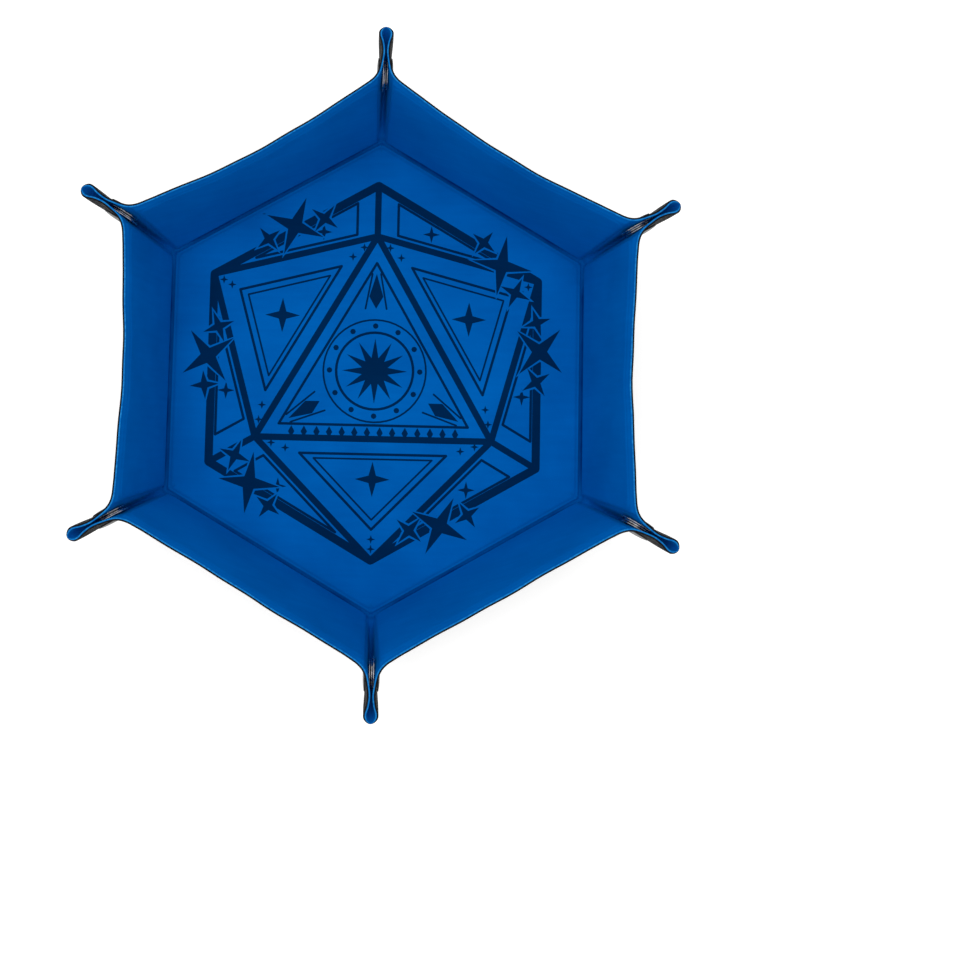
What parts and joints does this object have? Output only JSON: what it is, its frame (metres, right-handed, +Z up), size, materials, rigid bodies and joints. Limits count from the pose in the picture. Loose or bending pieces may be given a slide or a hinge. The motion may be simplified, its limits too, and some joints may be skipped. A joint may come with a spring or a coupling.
{
  "type": "folding dice tray",
  "caption": "Hexagonal velvet-lined leather tray whose hinged walls stand up when the corner snaps are closed and fold down flat.",
  "frame": {"origin": "middle of the floor's underside, where it rests on the table", "axes": "+Z up out of the tray; +Y towards one corner; +X square to one wall"},
  "size_m": [0.2118, 0.2422, 0.0475],
  "materials": {
    "black_leather": "matt grained imitation leather",
    "blue_velvet": "short-pile velvet",
    "greyboard": "uncoated grey board",
    "flap_laminate": "leather with velvet bonded to its inner face",
    "nickel_snap": "nickel plated",
    "black_cap": "satin black enamel"
  },
  "bodies": {
    "floor": {"floor_skin": "black_leather", "floor_board": "greyboard", "floor_lining": "blue_velvet"},
    "wall_1": {"wall_skin_1": "black_leather", "wall_board_1": "greyboard", "wall_lining_1": "blue_velvet"},
    "stud_flap_1": {"stud_flap_1": "flap_laminate", "stud_1": "nickel_snap", "stud_post_1": "black_cap"},
    "socket_flap_1": {"socket_flap_1": "flap_laminate", "socket_1": "nickel_snap", "socket_cap_1": "black_cap"},
    "wall_2": {"wall_skin_2": "black_leather", "wall_board_2": "greyboard", "wall_lining_2": "blue_velvet"},
    "stud_flap_2": {"stud_flap_2": "flap_laminate", "stud_2": "nickel_snap", "stud_post_2": "black_cap"},
    "socket_flap_2": {"socket_flap_2": "flap_laminate", "socket_2": "nickel_snap", "socket_cap_2": "black_cap"},
    "wall_3": {"wall_skin_3": "black_leather", "wall_board_3": "greyboard", "wall_lining_3": "blue_velvet"},
    "stud_flap_3": {"stud_flap_3": "flap_laminate", "stud_3": "nickel_snap", "stud_post_3": "black_cap"},
    "socket_flap_3": {"socket_flap_3": "flap_laminate", "socket_3": "nickel_snap", "socket_cap_3": "black_cap"},
    "wall_4": {"wall_skin_4": "black_leather", "wall_board_4": "greyboard", "wall_lining_4": "blue_velvet"},
    "stud_flap_4": {"stud_flap_4": "flap_laminate", "stud_4": "nickel_snap", "stud_post_4": "black_cap"},
    "socket_flap_4": {"socket_flap_4": "flap_laminate", "socket_4": "nickel_snap", "socket_cap_4": "black_cap"},
    "wall_5": {"wall_skin_5": "black_leather", "wall_board_5": "greyboard", "wall_lining_5": "blue_velvet"},
    "stud_flap_5": {"stud_flap_5": "flap_laminate", "stud_5": "nickel_snap", "stud_post_5": "black_cap"},
    "socket_flap_5": {"socket_flap_5": "flap_laminate", "socket_5": "nickel_snap", "socket_cap_5": "black_cap"},
    "wall_6": {"wall_skin_6": "black_leather", "wall_board_6": "greyboard", "wall_lining_6": "blue_velvet"},
    "stud_flap_6": {"stud_flap_6": "flap_laminate", "stud_6": "nickel_snap", "stud_post_6": "black_cap"},
    "socket_flap_6": {"socket_flap_6": "flap_laminate", "socket_6": "nickel_snap", "socket_cap_6": "black_cap"}
  },
  "joints": [
    {"name": "wall_fold_1", "type": "hinge", "parent": "floor", "child": "wall_1", "pos_m": [0.08, 0, 0.00215], "axis": [0, 1, 0], "range_deg": [0, 78]},
    {"name": "stud_flap_fold_1", "type": "hinge", "parent": "wall_1", "child": "stud_flap_1", "pos_m": [0.08, 0.04619, 0.00215], "axis": [0.1643, 0.0949, 0.9818], "range_deg": [0, 58.82]},
    {"name": "socket_flap_fold_1", "type": "hinge", "parent": "wall_1", "child": "socket_flap_1", "pos_m": [0.08, -0.04619, 0.00215], "axis": [-0.1643, 0.0949, -0.9818], "range_deg": [0, 58.82]},
    {"name": "wall_fold_2", "type": "hinge", "parent": "floor", "child": "wall_2", "pos_m": [0.04, 0.06928, 0.00215], "axis": [-0.866, 0.5, 0], "range_deg": [0, 78]},
    {"name": "stud_flap_fold_2", "type": "hinge", "parent": "wall_2", "child": "stud_flap_2", "pos_m": [0, 0.09238, 0.00215], "axis": [0, 0.1897, 0.9818], "range_deg": [0, 58.82]},
    {"name": "socket_flap_fold_2", "type": "hinge", "parent": "wall_2", "child": "socket_flap_2", "pos_m": [0.08, 0.04619, 0.00215], "axis": [-0.1643, -0.0949, -0.9818], "range_deg": [0, 58.82]},
    {"name": "wall_fold_3", "type": "hinge", "parent": "floor", "child": "wall_3", "pos_m": [-0.04, 0.06928, 0.00215], "axis": [-0.866, -0.5, 0], "range_deg": [0, 78]},
    {"name": "stud_flap_fold_3", "type": "hinge", "parent": "wall_3", "child": "stud_flap_3", "pos_m": [-0.08, 0.04619, 0.00215], "axis": [-0.1643, 0.0949, 0.9818], "range_deg": [0, 58.82]},
    {"name": "socket_flap_fold_3", "type": "hinge", "parent": "wall_3", "child": "socket_flap_3", "pos_m": [0, 0.09238, 0.00215], "axis": [0, -0.1897, -0.9818], "range_deg": [0, 58.82]},
    {"name": "wall_fold_4", "type": "hinge", "parent": "floor", "child": "wall_4", "pos_m": [-0.08, 0, 0.00215], "axis": [0, -1, 0], "range_deg": [0, 78]},
    {"name": "stud_flap_fold_4", "type": "hinge", "parent": "wall_4", "child": "stud_flap_4", "pos_m": [-0.08, -0.04619, 0.00215], "axis": [-0.1643, -0.0949, 0.9818], "range_deg": [0, 58.82]},
    {"name": "socket_flap_fold_4", "type": "hinge", "parent": "wall_4", "child": "socket_flap_4", "pos_m": [-0.08, 0.04619, 0.00215], "axis": [0.1643, -0.0949, -0.9818], "range_deg": [0, 58.82]},
    {"name": "wall_fold_5", "type": "hinge", "parent": "floor", "child": "wall_5", "pos_m": [-0.04, -0.06928, 0.00215], "axis": [0.866, -0.5, 0], "range_deg": [0, 78]},
    {"name": "stud_flap_fold_5", "type": "hinge", "parent": "wall_5", "child": "stud_flap_5", "pos_m": [0, -0.09238, 0.00215], "axis": [0, -0.1897, 0.9818], "range_deg": [0, 58.82]},
    {"name": "socket_flap_fold_5", "type": "hinge", "parent": "wall_5", "child": "socket_flap_5", "pos_m": [-0.08, -0.04619, 0.00215], "axis": [0.1643, 0.0949, -0.9818], "range_deg": [0, 58.82]},
    {"name": "wall_fold_6", "type": "hinge", "parent": "floor", "child": "wall_6", "pos_m": [0.04, -0.06928, 0.00215], "axis": [0.866, 0.5, 0], "range_deg": [0, 78]},
    {"name": "stud_flap_fold_6", "type": "hinge", "parent": "wall_6", "child": "stud_flap_6", "pos_m": [0.08, -0.04619, 0.00215], "axis": [0.1643, -0.0949, 0.9818], "range_deg": [0, 58.82]},
    {"name": "socket_flap_fold_6", "type": "hinge", "parent": "wall_6", "child": "socket_flap_6", "pos_m": [0, -0.09238, 0.00215], "axis": [0, 0.1897, -0.9818], "range_deg": [0, 58.82]}
  ],
  "couplings": [
    {"joint": "stud_flap_fold_1", "follows": "wall_fold_1", "ratio": 0.75409},
    {"joint": "socket_flap_fold_1", "follows": "wall_fold_1", "ratio": 0.75409},
    {"joint": "stud_flap_fold_2", "follows": "wall_fold_1", "ratio": 0.75409},
    {"joint": "socket_flap_fold_2", "follows": "wall_fold_1", "ratio": 0.75409},
    {"joint": "wall_fold_2", "follows": "wall_fold_1", "ratio": 1},
    {"joint": "stud_flap_fold_3", "follows": "wall_fold_1", "ratio": 0.75409},
    {"joint": "socket_flap_fold_3", "follows": "wall_fold_1", "ratio": 0.75409},
    {"joint": "wall_fold_3", "follows": "wall_fold_1", "ratio": 1},
    {"joint": "stud_flap_fold_4", "follows": "wall_fold_1", "ratio": 0.75409},
    {"joint": "socket_flap_fold_4", "follows": "wall_fold_1", "ratio": 0.75409},
    {"joint": "wall_fold_4", "follows": "wall_fold_1", "ratio": 1},
    {"joint": "stud_flap_fold_5", "follows": "wall_fold_1", "ratio": 0.75409},
    {"joint": "socket_flap_fold_5", "follows": "wall_fold_1", "ratio": 0.75409},
    {"joint": "wall_fold_5", "follows": "wall_fold_1", "ratio": 1},
    {"joint": "stud_flap_fold_6", "follows": "wall_fold_1", "ratio": 0.75409},
    {"joint": "socket_flap_fold_6", "follows": "wall_fold_1", "ratio": 0.75409},
    {"joint": "wall_fold_6", "follows": "wall_fold_1", "ratio": 1}
  ]
}
